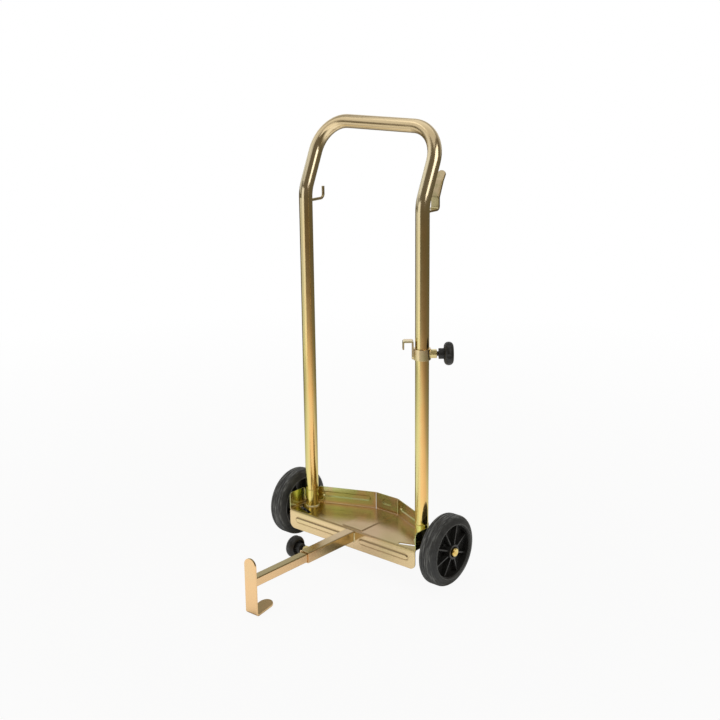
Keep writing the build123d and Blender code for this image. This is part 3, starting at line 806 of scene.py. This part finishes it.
def paper_material():
    """Pale paper that keeps the shadow, fades into the white, and in reflections shows a painted bright spot
    of light with painted shade near the object.
    """
    material, nodes = new_material("floor_paper")
    place = nodes.add("TexCoord").outputs["Object"]
    from_spot = nodes.measure("DISTANCE", place, BRIGHT_SPOT)
    # painted light and painted shade, seen only in reflections: a pool of light round the bright spot,
    # darker where the floor is hemmed in
    reflected_light = nodes.ramp(nodes.remap(from_spot, (0.0, PAPER_R)), PAPER_STOPS, REFLECTED_LIGHT_TONES)
    lit = nodes.remap(nodes.openness(SHADOW_REACH), SHADOW_OPEN)
    reflected = nodes.mix(lit, PAPER_SHADE, reflected_light)
    direct, glossy = ray_kinds(nodes)
    shown = nodes.mix(direct, reflected, WHITE)
    far_white = nodes.remap(nodes.measure("LENGTH", place), FAR_WHITE, NEAR_WHITE_SHARE, 1.0)
    factor = nodes.math("MAXIMUM", nodes.math("MULTIPLY", direct, far_white), glossy)
    paper = nodes.add("BsdfDiffuse", {"Color": FLOOR_WHITE})
    glow = nodes.add("Emission", {"Color": shown, "Strength": 1.0})
    mixed = nodes.add("MixShader", {0: factor, 1: paper.outputs["BSDF"], 2: glow.outputs["Emission"]})
    nodes.add("OutputMaterial", {"Surface": mixed.outputs["Shader"]})
    return material


def make_floor():
    """Wide round floor at ground level."""
    mesh = bmesh.new()
    bmesh.ops.create_circle(mesh, cap_ends=True, radius=FLOOR_R, segments=FLOOR_SEGMENTS)
    data = bpy.data.meshes.new("floor")
    mesh.to_mesh(data)
    mesh.free()
    data.materials.append(paper_material())
    floor = bpy.data.objects.new("floor", data)
    bpy.context.scene.collection.objects.link(floor)


def slot_finishes():
    """Finish of each material slot."""
    fitting_tints = (FITTING_OLIVE, FITTING_GOLD, FITTING_PEACH)
    return {
        "zinc": zinc_material("fitting_zinc", fitting_tints, drift_scale=30.0, rough=(0.16, 0.28)),
        "stud_steel": stud_material(),
        "tyre": rubber_material(),
        "hub_plastic": plastic_material("hub_plastic", (HUB_BLACK, HUB_BLACK_SOFT), rough=(0.26, 0.38),
                                        grain_scale=500.0, bump=0.10, edge=0.0005),
        "knob_plastic": plastic_material("knob_plastic", (KNOB_BLACK, KNOB_BLACK_SOFT), rough=(0.36, 0.50),
                                         grain_scale=700.0, bump=0.25, edge=0.0008),
        "bush_plastic": plastic_material("bush_plastic", (BUSH_GREY, BUSH_PALE), rough=(0.40, 0.50),
                                         grain_scale=400.0, bump=0.1, edge=0.0003),
    }


def piece_finishes():
    """Finish of each steel piece that differs from its slot."""
    arm = arm_material()
    stub_tints = (STUB_GREEN, STUB_YELLOW, STUB_YELLOW)
    stub = zinc_material("stub_zinc", stub_tints, drift_scale=30.0, rough=(0.14, 0.22))
    hook = zinc_material("hook_zinc", (HOOK_OLIVE, HOOK_TAN, HOOK_TAN), drift_scale=40.0, rough=(0.18, 0.30))
    nut = zinc_material("nut_zinc", (NUT_GOLD, NUT_YELLOW, NUT_YELLOW), drift_scale=60.0, rough=(0.16, 0.26))
    cap = zinc_material("cap_zinc", (CAP_GOLD, CAP_YELLOW, CAP_YELLOW), drift_scale=60.0, rough=(0.16, 0.26))
    return {
        "handle_tube": tube_material(), "base_plate": sheet_material(), "foot_plate": plate_material(),
        "arm_socket": arm, "foot_tube": arm,
        "left_stub": stub, "right_stub": stub,
        "rod_hook": hook, "strip_hook": hook,
        "socket_nut": nut, "clamp_nut": nut,
        "left_axle_cap": cap, "right_axle_cap": cap,
    }


def add_welds():
    """Weld beads at the joins of the frame, the foot and the clamp."""
    bead_tints = (WELD_GOLD, WELD_PALE, WELD_PALE)
    bead = zinc_material("weld_zinc", bead_tints, drift_scale=150.0, rough=(0.26, 0.40), bump=0.3)
    weld_bead("stub_welds", stub_joins(), STUB_BEAD_R, bead, "chassis")
    weld_bead("socket_welds", socket_joins(), BEAD_R, bead, "chassis")
    weld_bead("fitting_welds", fitting_joins(), FINE_BEAD_R, bead, "chassis")
    weld_bead("foot_welds", foot_joins(), BEAD_R, bead, "foot")
    weld_bead("clamp_welds", clamp_joins(), FINE_BEAD_R, bead, "clamp")


def dress(frame):
    """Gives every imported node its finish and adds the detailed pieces."""
    slots = slot_finishes()
    pieces = piece_finishes()
    for name, node in frame["nodes"].items():
        for slot in node.material_slots:
            slot.material = pieces.get(name, slots[slot.material.name])
    for side in ("left", "right"):
        grooved_tyre(f"{side}_grooved_tyre", f"{side}_tyre", f"{side}_wheel", slots["tyre"])
    add_welds()


clear_scene()
bpy.context.scene.view_settings.view_transform = "Standard"
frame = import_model()
dress(frame)
make_world()
make_floor()
for lamp in LAMPS:
    soft_box(*lamp)
make_camera()
